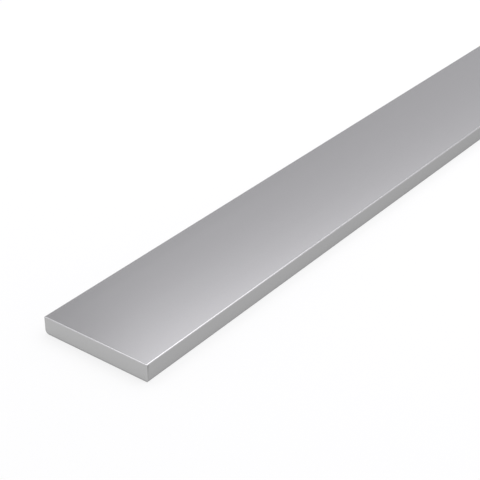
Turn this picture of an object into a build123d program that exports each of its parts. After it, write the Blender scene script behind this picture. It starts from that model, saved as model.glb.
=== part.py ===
from build123d import *

import os

# Aluminium flat bar: extruded stock, sawn square to length.
# It lies flat on the plane Z = 0, with its length along X, its width along Y and its
# thickness up Z. The origin is under the middle of the bar. Sizes are in millimetres.

# The stock
bar_length = 1000.0
bar_width = 40.0
bar_thickness = 6.0
corner_radius = 0.3  # left by the extrusion die on the four long edges

# The sawn ends
end_break = 0.25  # bevel left by the file that takes the burr off each end

# The knocked corner: the lower corner at the -X end, on the +Y side
knock_width = 1.6  # its reach across the width, on the end face
knock_height = 1.3  # its reach up the thickness, on the end face
knock_run = 2.6  # its reach along the bar, where it fades out on the long edge

knocked_end = Plane.YZ.offset(-bar_length / 2)

with BuildPart() as flat_bar:
    # The section that the die gives, drawn out to the length of the bar
    with BuildSketch(knocked_end) as section:
        Rectangle(bar_width, bar_thickness, align=(Align.CENTER, Align.MIN))
        fillet(section.vertices(), corner_radius)
    extrude(amount=bar_length)

    # The file's bevels along the top and bottom edges of both ends, drawn from the side
    with BuildSketch(Plane.XZ) as side_view:
        Rectangle(bar_length, bar_thickness, align=(Align.CENTER, Align.MIN))
        chamfer(side_view.vertices(), end_break)
    extrude(amount=bar_width / 2, both=True, mode=Mode.INTERSECT)

    # The file's bevels along the upright edges of both ends, drawn from above
    with BuildSketch(Plane.XY) as plan_view:
        Rectangle(bar_length, bar_width)
        chamfer(plan_view.vertices(), end_break)
    extrude(amount=bar_thickness, mode=Mode.INTERSECT)

    # A blow has rounded off one corner. What it took is widest on the end face, between
    # the corner and an arc tangent to both edges, and narrows to a point on the long edge.
    with BuildSketch(knocked_end) as knock:
        with BuildLine():
            Polyline(
                (bar_width / 2, knock_height),
                (bar_width / 2, 0),
                (bar_width / 2 - knock_width, 0),
            )
            EllipticalCenterArc(
                (bar_width / 2 - knock_width, knock_height),
                knock_width,
                knock_height,
                start_angle=-90,
                arc_size=90,
            )
        make_face()
    fade_point = Vertex(-bar_length / 2 + knock_run, bar_width / 2, 0)
    loft(sections=[knock.sketch, fade_point], mode=Mode.SUBTRACT)

flat_bar.part.label = "flat_bar"

os.makedirs("parts", exist_ok=True)
export_step(flat_bar.part, "parts/flat_bar.step")
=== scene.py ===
"""Satin aluminium flat bar: the finished look of the bar and the stage it lies on."""

import math

import bmesh
import bpy
from bpy.props import FloatProperty, FloatVectorProperty, IntProperty, PointerProperty
from mathutils import Euler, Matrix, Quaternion, Vector


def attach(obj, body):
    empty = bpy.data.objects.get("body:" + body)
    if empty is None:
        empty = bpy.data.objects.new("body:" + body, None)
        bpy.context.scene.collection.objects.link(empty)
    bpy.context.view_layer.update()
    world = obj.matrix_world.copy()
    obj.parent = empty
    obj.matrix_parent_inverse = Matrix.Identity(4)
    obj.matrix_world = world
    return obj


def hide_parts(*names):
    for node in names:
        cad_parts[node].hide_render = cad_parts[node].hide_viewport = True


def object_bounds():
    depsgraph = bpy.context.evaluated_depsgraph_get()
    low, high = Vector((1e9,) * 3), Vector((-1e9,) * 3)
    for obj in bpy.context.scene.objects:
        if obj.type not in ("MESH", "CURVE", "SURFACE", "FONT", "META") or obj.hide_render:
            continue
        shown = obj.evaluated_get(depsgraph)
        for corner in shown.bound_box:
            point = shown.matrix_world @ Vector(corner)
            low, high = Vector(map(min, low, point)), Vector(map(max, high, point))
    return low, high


bl_info = {
    "name": "Flat Bar",
    "version": (1, 0, 0),
    "blender": (4, 5, 0),
    "location": "3D View > Sidebar > Flat Bar",
    "description": "Builds an extruded aluminium flat bar and the stage it lies on",
    "category": "Add Mesh",
}

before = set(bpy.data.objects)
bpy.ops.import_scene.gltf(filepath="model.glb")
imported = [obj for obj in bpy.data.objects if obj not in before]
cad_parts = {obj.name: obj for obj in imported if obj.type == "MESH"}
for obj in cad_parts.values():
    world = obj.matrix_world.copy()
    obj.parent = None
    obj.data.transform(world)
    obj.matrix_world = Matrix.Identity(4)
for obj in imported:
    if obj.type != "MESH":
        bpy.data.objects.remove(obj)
cad_low, cad_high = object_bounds()

NODE = "flat_bar"
BODY = "root"
MM = 0.001

# The bar's own size comes from the frame
BAR_SIZE = cad_high - cad_low
HALF_LENGTH = BAR_SIZE.x / 2
HALF_WIDTH = BAR_SIZE.y / 2
THICKNESS = BAR_SIZE.z

# How finely the bar's mesh is divided
SEAM = 0.04 * MM  # beside each rounding, to keep its shading off the flats
PITCH = 0.12 * MM  # round the knocked corner
SPANS = 20  # along the rest of the bar
CREASE = math.radians(30)  # a turn sharper than this shows as an edge
QUARTER = 90  # degrees round each corner of the section

# The materials of the bar's mesh, in the order of its slots
WIDE_FACE, NARROW_EDGE, HIGHLIGHT_EDGE, SAWN_END = range(4)
LEAN = math.radians(3)  # a face that leans further than this is part of a rounding
EDGE_ON = math.sin(math.radians(45))  # a face turned further sideways is a narrow edge's

# Nearly all of a noise texture's values lie between these
NOISE_RANGE = (0.3, 0.7)
# Its finer layers: how many there are, and how strong each is beside the one before
LINE_LAYERS = {"Detail": 3.0, "Roughness": 0.55}
GRAIN_LAYERS = {"Detail": 2.0, "Roughness": 0.6}
ARC_LAYERS = {"Detail": 2.0, "Roughness": 0.6}


def linear(hex_colour):
    """An sRGB hex colour such as '#B4B4B6' as the linear values that shaders take."""
    channels = [int(hex_colour[i : i + 2], 16) / 255 for i in (1, 3, 5)]
    return [c / 12.92 if c <= 0.04045 else ((c + 0.055) / 1.055) ** 2.4 for c in channels]


# ---------------------------------------------------------------- settings


class FLATBAR_PG_bar(bpy.types.PropertyGroup):
    """The sizes and colours of the bar's edges, ends and finish."""

    corner_radius: FloatProperty(
        name="Corner radius",
        description="Radius that the extrusion die leaves on the four long edges",
        default=0.3 * MM,
        min=0.05 * MM,
        unit="LENGTH",
        precision=5,
    )
    corner_steps: IntProperty(
        name="Corner steps",
        description="Faces round each of those corners",
        default=8,
        min=2,
    )
    end_radius: FloatProperty(
        name="End rounding",
        description="Radius that the file leaves all round each sawn end",
        default=0.25 * MM,
        min=0.02 * MM,
        unit="LENGTH",
        precision=5,
    )
    end_steps: IntProperty(
        name="End steps",
        description="Faces across that rounding",
        default=5,
        min=1,
    )
    knock: FloatVectorProperty(
        name="Knocked corner",
        description="How far the knock reaches along the bar, across it and up it",
        default=(2.6 * MM, 1.6 * MM, 1.3 * MM),
        subtype="XYZ",
        unit="LENGTH",
        precision=5,
    )
    metal: FloatVectorProperty(
        name="Metal",
        description="Colour of the extruded and etched aluminium",
        default=linear("#ABABAB"),
        subtype="COLOR",
    )
    # Brighter colour of the up-facing roundings: a painted highlight along the upper edges
    highlight_edge_metal: FloatVectorProperty(
        name="Burnished metal",
        description="Colour of the upper edges, where handling has rubbed them bright",
        default=linear("#C4C4C4"),
        subtype="COLOR",
    )
    # A darker colour for a thin band on the narrow edges beside each end, fading towards the
    # underside
    end_band_metal: FloatVectorProperty(
        name="Filed metal",
        description="Colour of the narrow edges where the file has dulled them",
        default=linear("#929292"),
        subtype="COLOR",
    )
    sawn_metal: FloatVectorProperty(
        name="Sawn metal",
        description="Colour of the bare aluminium at the sawn ends",
        default=linear("#B5B5B5"),
        subtype="COLOR",
    )
    grazing_tint: FloatProperty(
        name="Grazing tint",
        description="Share of the shine that the skin leaves to light that skims the metal",
        default=0.79,
        min=0.0,
        max=1.0,
        subtype="FACTOR",
    )
    edge_grazing_tint: FloatProperty(
        name="Edge grazing tint",
        description="The same for the two narrow edges, whose skin is a little duller",
        default=0.6,
        min=0.0,
        max=1.0,
        subtype="FACTOR",
    )


class FLATBAR_PG_stage(bpy.types.PropertyGroup):
    """The camera, and the colours of the light and the floor."""

    camera_place: FloatVectorProperty(
        name="Camera place",
        description="Where the camera stands, from the middle of the bar's underside",
        default=(-0.70824, -0.21177, 0.21184),
        subtype="TRANSLATION",
        unit="LENGTH",
        precision=5,
    )
    camera_heading: FloatProperty(
        name="Camera heading",
        description="How far the camera is turned from +Y towards +X",
        default=math.radians(52.618),
        subtype="ANGLE",
    )
    camera_dip: FloatProperty(
        name="Camera dip",
        description="How far the camera looks down",
        default=math.radians(30.412),
        subtype="ANGLE",
    )
    camera_lens: FloatProperty(
        name="Lens",
        description="Focal length in millimetres, for a sensor 36 mm wide",
        default=93.83,
        unit="CAMERA",
    )
    light_colour: FloatVectorProperty(
        name="Light",
        description="Colour of the light from the lamps and the walls",
        default=linear("#FCFBFF"),
        subtype="COLOR",
    )
    floor_colour: FloatVectorProperty(
        name="Floor",
        description="Colour of the floor's matt paint",
        default=linear("#EFEFEF"),
        subtype="COLOR",
    )


# --------------------------------------------------------------- materials


def new_material(name):
    """An empty node material, with its Principled shader and the output it feeds."""
    material = bpy.data.materials.new(name)
    material.use_nodes = True
    tree = material.node_tree
    tree.nodes.clear()
    shader = add_node(tree, "ShaderNodeBsdfPrincipled")
    add_node(tree, "ShaderNodeOutputMaterial", Surface=shader.outputs["BSDF"])
    return material, tree, shader


def add_node(tree, kind, settings=None, **inputs):
    """Adds a node with its settings. An input is a value, or an output to link from."""
    node = tree.nodes.new(kind)
    for name, value in (settings or {}).items():
        setattr(node, name, value)
    for key, value in inputs.items():
        socket = node.inputs[int(key[1:]) if key[0] == "_" else key.replace("_", " ")]
        if isinstance(value, bpy.types.NodeSocket):
            tree.links.new(value, socket)
        else:
            socket.default_value = value
    return node


def extruded_aluminium(name, colour, grazing_tint):
    """Aluminium drawn through a die, then etched to a satin skin.

    The die leaves hair-fine lines along the bar, and the etch a fine even grain over them.
    The eye sees a soft, broad sheen, with faint streaks that run the length of the bar.
    """
    material, tree, shader = new_material(name)
    place = add_node(tree, "ShaderNodeTexCoord").outputs["Object"]

    # Real die lines are about 0.1 mm apart, drawn here as coarse as they need to show
    line_spacing = 0.45 * MM
    line_length = 160 * MM
    line_roughness = (0.206, 0.224)
    line_depth = 0.0003 * MM
    streaks = add_node(
        tree,
        "ShaderNodeMapping",
        Vector=place,
        Scale=(1 / line_length, 1 / line_spacing, 1 / line_spacing),
    )
    die_lines = add_node(
        tree,
        "ShaderNodeTexNoise",
        Vector=streaks.outputs["Vector"],
        Scale=1.0,
        **LINE_LAYERS,
    )
    # The etch's own grain is about 0.05 mm, and is coarser here for the same reason
    grain_size = 0.22 * MM
    grain_depth = 0.0001 * MM
    etch_grain = add_node(
        tree,
        "ShaderNodeTexNoise",
        Vector=place,
        Scale=1 / grain_size,
        **GRAIN_LAYERS,
    )

    shader.inputs["Base Color"].default_value = (*colour, 1)
    shader.inputs["Specular Tint"].default_value = (*[grazing_tint] * 3, 1)
    shader.inputs["Metallic"].default_value = 1.0

    roughness = add_node(
        tree,
        "ShaderNodeMapRange",
        Value=die_lines.outputs["Fac"],
        From_Min=NOISE_RANGE[0],
        From_Max=NOISE_RANGE[1],
        To_Min=line_roughness[0],
        To_Max=line_roughness[1],
    )
    tree.links.new(roughness.outputs["Result"], shader.inputs["Roughness"])

    line_relief = add_node(
        tree,
        "ShaderNodeBump",
        Strength=1.0,
        Distance=line_depth,
        Height=die_lines.outputs["Fac"],
    )
    grain_relief = add_node(
        tree,
        "ShaderNodeBump",
        Strength=1.0,
        Distance=grain_depth,
        Height=etch_grain.outputs["Fac"],
        Normal=line_relief.outputs["Normal"],
    )
    tree.links.new(grain_relief.outputs["Normal"], shader.inputs["Normal"])
    return material


def face_aluminium(settings):
    """The extruded aluminium of the two wide faces."""
    return extruded_aluminium(
        "extruded_satin_aluminium", settings.metal, settings.grazing_tint
    )


def highlight_edge_aluminium(settings):
    """The same aluminium along the upper edges, coloured brighter than the faces.

    The brighter colour is a painted highlight: it adds to the crisp line of light where those
    edges catch a lamp.
    """
    return extruded_aluminium(
        "highlight_edge_aluminium", settings.highlight_edge_metal, settings.grazing_tint
    )


def edge_aluminium(settings):
    """The extruded aluminium of the two narrow edges, which carry a duller skin.

    Beside each end they are coloured darker in a thin band, which fades out towards the
    underside.
    """
    material = extruded_aluminium(
        "extruded_edge_aluminium", settings.metal, settings.edge_grazing_tint
    )
    tree = material.node_tree
    shader = tree.nodes["Principled BSDF"]
    band_start, band_end = 0.25 * MM, 1.7 * MM
    lean = 0.18  # how far the band draws back for each millimetre down the edge

    place = add_node(tree, "ShaderNodeTexCoord").outputs["Object"]
    place = add_node(tree, "ShaderNodeSeparateXYZ", Vector=place)
    along = add_node(
        tree,
        "ShaderNodeMath",
        {"operation": "ABSOLUTE"},
        _0=place.outputs["X"],
    )
    from_end = add_node(
        tree,
        "ShaderNodeMath",
        {"operation": "SUBTRACT"},
        _0=HALF_LENGTH,
        _1=along.outputs["Value"],
    )
    from_top = add_node(
        tree,
        "ShaderNodeMath",
        {"operation": "SUBTRACT"},
        _0=THICKNESS,
        _1=place.outputs["Z"],
    )
    from_band_edge = add_node(
        tree,
        "ShaderNodeMath",
        {"operation": "MULTIPLY_ADD"},
        _0=from_top.outputs["Value"],
        _1=lean,
        _2=from_end.outputs["Value"],
    )
    outside_band = add_node(
        tree,
        "ShaderNodeMapRange",
        {"interpolation_type": "SMOOTHSTEP"},
        Value=from_band_edge.outputs["Value"],
        From_Min=band_start,
        From_Max=band_end,
    )
    colour = add_node(
        tree,
        "ShaderNodeMixRGB",
        Fac=outside_band.outputs["Result"],
        Color1=(*settings.end_band_metal, 1),
        Color2=(*settings.metal, 1),
    )
    tree.links.new(colour.outputs["Color"], shader.inputs["Base Color"])
    return material


def sawn_aluminium(settings):
    """Aluminium cut by a circular saw, its burr taken off with a file.

    The teeth leave shallow arcs across the end, which the eye sees as a dull, faintly
    ruled face beside the satin of the extruded ones.
    """
    material, tree, shader = new_material("sawn_aluminium")
    place = add_node(tree, "ShaderNodeTexCoord").outputs["Object"]

    blade_centre = (0.0, -60 * MM, 155 * MM)
    # Real teeth leave marks about 0.1 mm apart, drawn here as coarse as they need to show
    tooth_pitch = 0.4 * MM
    tooth_roughness = (0.235, 0.265)
    tooth_depth = 0.0005 * MM
    along_end = add_node(
        tree,
        "ShaderNodeVectorMath",
        {"operation": "MULTIPLY"},
        _0=place,
        _1=(0.0, 1.0, 1.0),
    )
    from_blade = add_node(
        tree,
        "ShaderNodeVectorMath",
        {"operation": "DISTANCE"},
        _0=along_end.outputs["Vector"],
        _1=blade_centre,
    )
    arcs = add_node(
        tree,
        "ShaderNodeTexNoise",
        {"noise_dimensions": "1D"},
        W=from_blade.outputs["Value"],
        Scale=1 / tooth_pitch,
        **ARC_LAYERS,
    )

    shader.inputs["Base Color"].default_value = (*settings.sawn_metal, 1)
    shader.inputs["Specular Tint"].default_value = (*[settings.grazing_tint] * 3, 1)
    shader.inputs["Metallic"].default_value = 1.0
    roughness = add_node(
        tree,
        "ShaderNodeMapRange",
        Value=arcs.outputs["Fac"],
        From_Min=NOISE_RANGE[0],
        From_Max=NOISE_RANGE[1],
        To_Min=tooth_roughness[0],
        To_Max=tooth_roughness[1],
    )
    tree.links.new(roughness.outputs["Result"], shader.inputs["Roughness"])
    relief = add_node(
        tree,
        "ShaderNodeBump",
        Strength=1.0,
        Distance=tooth_depth,
        Height=arcs.outputs["Fac"],
    )
    tree.links.new(relief.outputs["Normal"], shader.inputs["Normal"])
    return material


# --------------------------------------------------------------------- bar


def section_points(settings):
    """Points round the bar's section, each as (y, z, outward y, outward z).

    A narrow seam beside each rounded corner keeps the shading of the flats flat. Beside
    the knocked corner the points lie closer, so that the knock's curve comes out smooth.
    """
    radius, steps = settings.corner_radius, settings.corner_steps
    knock_width, knock_height = settings.knock[1:]
    corners = (
        (HALF_WIDTH - radius, radius, -QUARTER, knock_width, knock_height),
        (HALF_WIDTH - radius, THICKNESS - radius, 0, 0, 0),
        (-HALF_WIDTH + radius, THICKNESS - radius, QUARTER, 0, 0),
        (-HALF_WIDTH + radius, radius, 2 * QUARTER, 0, 0),
    )
    points = []

    def add_point(centre_y, centre_z, degrees, along):
        angle = math.radians(degrees)
        out_y, out_z = math.cos(angle), math.sin(angle)
        y = centre_y + radius * out_y - along * out_z
        z = centre_z + radius * out_z + along * out_y
        points.append((y, z, out_y, out_z))

    for centre_y, centre_z, first, reach_before, reach_after in corners:
        for along in reversed(flat_steps(reach_before)):
            add_point(centre_y, centre_z, first, -along)
        for step in range(steps + 1):
            add_point(centre_y, centre_z, first + QUARTER * step / steps, 0)
        for along in flat_steps(reach_after):
            add_point(centre_y, centre_z, first + QUARTER, along)
    return points


def flat_steps(reach):
    """How far from a rounded corner the points on the flat beside it lie."""
    return [SEAM] + [PITCH * k for k in range(1, math.ceil(reach / PITCH))]


def knocked(y, z, depth, inset, knock):
    """Moves a point of the section onto the knock's curve, where the knock has reached it."""
    run, width, height = knock
    size = 1 - depth / run
    if size <= 0:
        return y, z
    centre_y, centre_z = HALF_WIDTH - width * size, height * size
    reach_y, reach_z = width * size - inset, height * size - inset
    across = (y - centre_y) / reach_y
    up = (centre_z - z) / reach_z
    distance = math.hypot(across, up)
    if across <= 0 or up <= 0 or distance <= 1:
        return y, z
    return centre_y + reach_y * across / distance, centre_z - reach_z * up / distance


def end_stations(settings):
    """(depth from the end, inset) of each ring of points over an end's rounding."""
    radius, steps = settings.end_radius, settings.end_steps
    rings = [(0.0, radius + SEAM)]
    for step in range(steps + 1):
        angle = math.pi / 2 * step / steps
        rings.append((radius * (1 - math.cos(angle)), radius * (1 - math.sin(angle))))
    return rings + [(radius + SEAM, 0.0)]


def stations(settings):
    """(depth from the -X end, inset) of each ring of points along the bar."""
    end = end_stations(settings)
    run = settings.knock[0]
    knock = [(end[-1][0] + PITCH * k, 0.0) for k in range(1, math.ceil(run / PITCH))]
    first = 2 * knock[-1][0]  # the long spans start well clear of the knock
    span = (BAR_SIZE.x - 2 * first) / SPANS
    middle = [(first + span * k, 0.0) for k in range(SPANS + 1)]
    far_end = [(BAR_SIZE.x - depth, inset) for depth, inset in reversed(end)]
    return end + knock + middle + far_end


def finish_of(face, settings):
    """Which of the bar's materials a face of its mesh wears."""
    rounded = max(abs(part) for part in face.normal) < math.cos(LEAN)
    # Roundings that face up take the brighter metal, which paints a highlight along the upper
    # edges
    if rounded and face.normal.z > math.sin(LEAN):
        return HIGHLIGHT_EDGE
    if HALF_LENGTH - abs(face.calc_center_median().x) < settings.end_radius:
        return SAWN_END
    if abs(face.normal.y) > EDGE_ON:
        return NARROW_EDGE
    return WIDE_FACE


def bar_mesh(settings):
    """The whole bar as one closed mesh: rings along it, closed by its two sawn faces."""
    section = section_points(settings)
    mesh = bmesh.new()
    rings = []
    for depth, inset in stations(settings):
        ring = []
        for y, z, out_y, out_z in section:
            y, z = y - inset * out_y, z - inset * out_z
            y, z = knocked(y, z, depth, inset, settings.knock)
            ring.append(mesh.verts.new((depth - HALF_LENGTH, y, z)))
        rings.append(ring)

    for ring, following in zip(rings, rings[1:]):
        for i, corner in enumerate(ring):
            before = i - 1
            mesh.faces.new((ring[before], corner, following[i], following[before]))
    mesh.faces.new(rings[0])
    mesh.faces.new(rings[-1])
    bmesh.ops.recalc_face_normals(mesh, faces=mesh.faces)

    for face in mesh.faces:
        face.smooth = True
        face.material_index = finish_of(face, settings)
    for edge in mesh.edges:
        edge.smooth = edge.calc_face_angle(0.0) < CREASE
    data = bpy.data.meshes.new("extruded_bar")
    mesh.to_mesh(data)
    mesh.free()
    return data


class FLATBAR_OT_bar(bpy.types.Operator):
    """Build the bar, with its rounded long edges, sawn ends and knocked corner"""

    bl_idname = "flat_bar.bar"
    bl_label = "Bar"

    def execute(self, context):
        settings = context.scene.flat_bar
        data = bar_mesh(settings)
        for make in (face_aluminium, edge_aluminium, highlight_edge_aluminium, sawn_aluminium):
            data.materials.append(make(settings))
        bar = bpy.data.objects.new("extruded_bar", data)
        context.collection.objects.link(bar)
        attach(bar, BODY)
        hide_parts(NODE)
        return {"FINISHED"}


# ------------------------------------------------------------------- stage

SENSOR_WIDTH = 36.0  # millimetres
CLIP_START, CLIP_END = 0.01, 100.0
FLOOR_REACH = 25.0  # from the middle of the floor to each side

# Each lamp: its name, place, aim, turn, size and radiance
LAMPS = (
    (
        "softbox",
        (-0.0731, -0.0564, 0.8346),
        (-0.0746, -0.0566, THICKNESS),
        math.radians(14.9),
        (1.676, 0.823),
        1.86,
    ),
    (
        "strip_lamp",
        (0.9569, 0.6762, 1.2387),
        (-0.4400, 0.0000, THICKNESS),
        math.radians(32.3),
        (1.038, 0.594),
        1.65,
    ),
)

ZENITH = 90  # degrees above the horizon

# The room's brightness at each elevation, in those degrees
ROOM = ((0, 1.03), (9, 1.03), (30, 0.65), (90, 0.32))


def add_camera(context, settings):
    """The scene's camera."""
    data = bpy.data.cameras.new("camera")
    data.sensor_width = SENSOR_WIDTH
    data.lens = settings.camera_lens
    data.clip_start = CLIP_START
    data.clip_end = CLIP_END
    camera = bpy.data.objects.new("camera", data)
    camera.location = settings.camera_place
    camera.rotation_euler = Euler(
        (math.pi / 2 - settings.camera_dip, 0.0, -settings.camera_heading)
    )
    context.collection.objects.link(camera)
    context.scene.camera = camera


def add_lamp(context, colour, name, place, aim, turn, size, radiance):
    """A flat, even lamp at a place, facing an aim and turned about that line."""
    data = bpy.data.lights.new(name, "AREA")
    data.shape = "RECTANGLE"
    data.color = colour
    data.size, data.size_y = size
    data.energy = radiance * math.pi * size[0] * size[1]
    lamp = bpy.data.objects.new(name, data)
    lamp.location = place
    lamp.rotation_mode = "QUATERNION"
    facing = (Vector(aim) - lamp.location).to_track_quat("-Z", "Y")
    lamp.rotation_quaternion = facing @ Quaternion((0, 0, 1), turn)
    lamp.visible_camera = False
    context.collection.objects.link(lamp)


def floor_material(settings):
    """Matt white board. It looks white to the camera and in the metal, and keeps shadows.

    Right against the bar the metal mirrors the board's own shade instead, which draws
    the dark line where the two touch.
    """
    material, tree, shader = new_material("matt_white_board")
    shader.inputs["Base Color"].default_value = (*settings.floor_colour, 1)
    shader.inputs["Roughness"].default_value = 1.0
    shader.inputs["Specular IOR Level"].default_value = 0.0
    # The metal mirrors white from where the board comes clear of the bar's sides
    touching, clear = -0.3 * MM, 0.8 * MM
    # Near the bar the white leaves room for its shadow, and far out it is all there is
    white_nearby, nearby = 0.8, 0.6
    white_far, far = 1.0, 2.2

    rays = add_node(tree, "ShaderNodeLightPath")
    place = add_node(tree, "ShaderNodeTexCoord").outputs["Object"]
    beyond = add_node(tree, "ShaderNodeVectorMath", {"operation": "ABSOLUTE"}, _0=place)
    beyond = add_node(
        tree,
        "ShaderNodeVectorMath",
        {"operation": "SUBTRACT"},
        _0=beyond.outputs["Vector"],
        _1=(HALF_LENGTH, HALF_WIDTH, 0.0),
    )
    beyond = add_node(tree, "ShaderNodeSeparateXYZ", Vector=beyond.outputs["Vector"])
    from_bar = add_node(
        tree,
        "ShaderNodeMath",
        {"operation": "MAXIMUM"},
        _0=beyond.outputs["X"],
        _1=beyond.outputs["Y"],
    )
    clearance = add_node(
        tree,
        "ShaderNodeMapRange",
        Value=from_bar.outputs["Value"],
        From_Min=touching,
        From_Max=clear,
    )
    mirrored = add_node(
        tree,
        "ShaderNodeMath",
        {"operation": "MULTIPLY"},
        _0=rays.outputs["Is Glossy Ray"],
        _1=clearance.outputs["Result"],
    )
    seen = add_node(
        tree,
        "ShaderNodeMath",
        {"operation": "MAXIMUM"},
        _0=rays.outputs["Is Camera Ray"],
        _1=mirrored.outputs["Value"],
    )
    seen = add_node(
        tree,
        "ShaderNodeMath",
        {"operation": "MAXIMUM"},
        _0=seen.outputs["Value"],
        _1=rays.outputs["Is Transmission Ray"],
    )
    reach = add_node(tree, "ShaderNodeVectorMath", {"operation": "LENGTH"}, _0=place)
    whiteness = add_node(
        tree,
        "ShaderNodeMapRange",
        {"interpolation_type": "SMOOTHSTEP"},
        Value=reach.outputs["Value"],
        From_Min=nearby,
        From_Max=far,
        To_Min=white_nearby,
        To_Max=white_far,
    )
    share = add_node(
        tree,
        "ShaderNodeMath",
        {"operation": "MULTIPLY"},
        _0=seen.outputs["Value"],
        _1=whiteness.outputs["Result"],
    )
    white = add_node(tree, "ShaderNodeEmission", Color=(1, 1, 1, 1), Strength=1.0)
    mix = add_node(
        tree,
        "ShaderNodeMixShader",
        _0=share.outputs["Value"],
        _1=shader.outputs["BSDF"],
        _2=white.outputs["Emission"],
    )
    output = tree.nodes["Material Output"]
    tree.links.new(mix.outputs["Shader"], output.inputs["Surface"])
    return material


def add_floor(context, settings):
    """The floor that the bar lies on."""
    mesh = bmesh.new()
    corners = ((-1, -1), (1, -1), (1, 1), (-1, 1))
    mesh.faces.new(
        [mesh.verts.new((x * FLOOR_REACH, y * FLOOR_REACH, 0.0)) for x, y in corners]
    )
    data = bpy.data.meshes.new("floor")
    mesh.to_mesh(data)
    mesh.free()
    data.materials.append(floor_material(settings))
    floor = bpy.data.objects.new("floor", data)
    context.collection.objects.link(floor)


def add_surroundings(context, settings):
    """A studio round the stage: white walls low down, greyer towards the ceiling."""
    world = bpy.data.worlds.new("studio")
    world.use_nodes = True
    tree = world.node_tree
    tree.nodes.clear()
    direction = add_node(tree, "ShaderNodeTexCoord").outputs["Generated"]
    height = add_node(tree, "ShaderNodeSeparateXYZ", Vector=direction).outputs["Z"]
    angle = add_node(tree, "ShaderNodeMath", {"operation": "ARCSINE"}, _0=height)
    share = add_node(
        tree,
        "ShaderNodeMath",
        {"operation": "DIVIDE"},
        _0=angle.outputs["Value"],
        _1=math.pi / 2,
    )
    ramp = add_node(tree, "ShaderNodeValToRGB", Fac=share.outputs["Value"])
    stops = [(elevation / ZENITH, level) for elevation, level in ROOM]

    def tinted(level):
        return (*(level * c for c in settings.light_colour), 1)

    elements = ramp.color_ramp.elements
    elements.remove(elements[0])
    elements[0].position = stops[0][0]
    elements[0].color = tinted(stops[0][1])
    for position, level in stops[1:]:
        element = elements.new(position)
        element.color = tinted(level)
    background = add_node(
        tree, "ShaderNodeBackground", Color=ramp.outputs["Color"], Strength=1.0
    )
    add_node(tree, "ShaderNodeOutputWorld", Surface=background.outputs["Background"])
    context.scene.world = world


class FLATBAR_OT_stage(bpy.types.Operator):
    """Set up the camera, the floor, the lamps and the studio round them"""

    bl_idname = "flat_bar.stage"
    bl_label = "Stage"

    def execute(self, context):
        settings = context.scene.flat_bar_stage
        add_camera(context, settings)
        add_floor(context, settings)
        add_surroundings(context, settings)
        for lamp in LAMPS:
            add_lamp(context, settings.light_colour, *lamp)
        context.scene.view_settings.view_transform = "Standard"
        return {"FINISHED"}


class FLATBAR_PT_panel(bpy.types.Panel):
    """Builds the bar and its stage"""

    bl_idname = "FLATBAR_PT_panel"
    bl_label = "Flat Bar"
    bl_space_type = "VIEW_3D"
    bl_region_type = "UI"
    bl_category = "Flat Bar"

    def draw(self, context):
        """A box for the bar and one for the stage, each with its settings and button."""
        for group, operator in (
            (context.scene.flat_bar, FLATBAR_OT_bar),
            (context.scene.flat_bar_stage, FLATBAR_OT_stage),
        ):
            box = self.layout.box()
            for name in group.__annotations__:
                box.prop(group, name)
            box.operator(operator.bl_idname)


classes = (
    FLATBAR_PG_bar,
    FLATBAR_PG_stage,
    FLATBAR_OT_bar,
    FLATBAR_OT_stage,
    FLATBAR_PT_panel,
)


def register():
    """Registers the classes, and puts their settings on the scene."""
    for cls in classes:
        bpy.utils.register_class(cls)
    bpy.types.Scene.flat_bar = PointerProperty(type=FLATBAR_PG_bar)
    bpy.types.Scene.flat_bar_stage = PointerProperty(type=FLATBAR_PG_stage)


def unregister():
    """Takes the settings and the classes away again."""
    del bpy.types.Scene.flat_bar_stage
    del bpy.types.Scene.flat_bar
    for cls in reversed(classes):
        bpy.utils.unregister_class(cls)


def main():
    """Builds the bar and its stage."""
    register()
    bpy.ops.flat_bar.bar()
    bpy.ops.flat_bar.stage()


if __name__ == "__main__":
    main()
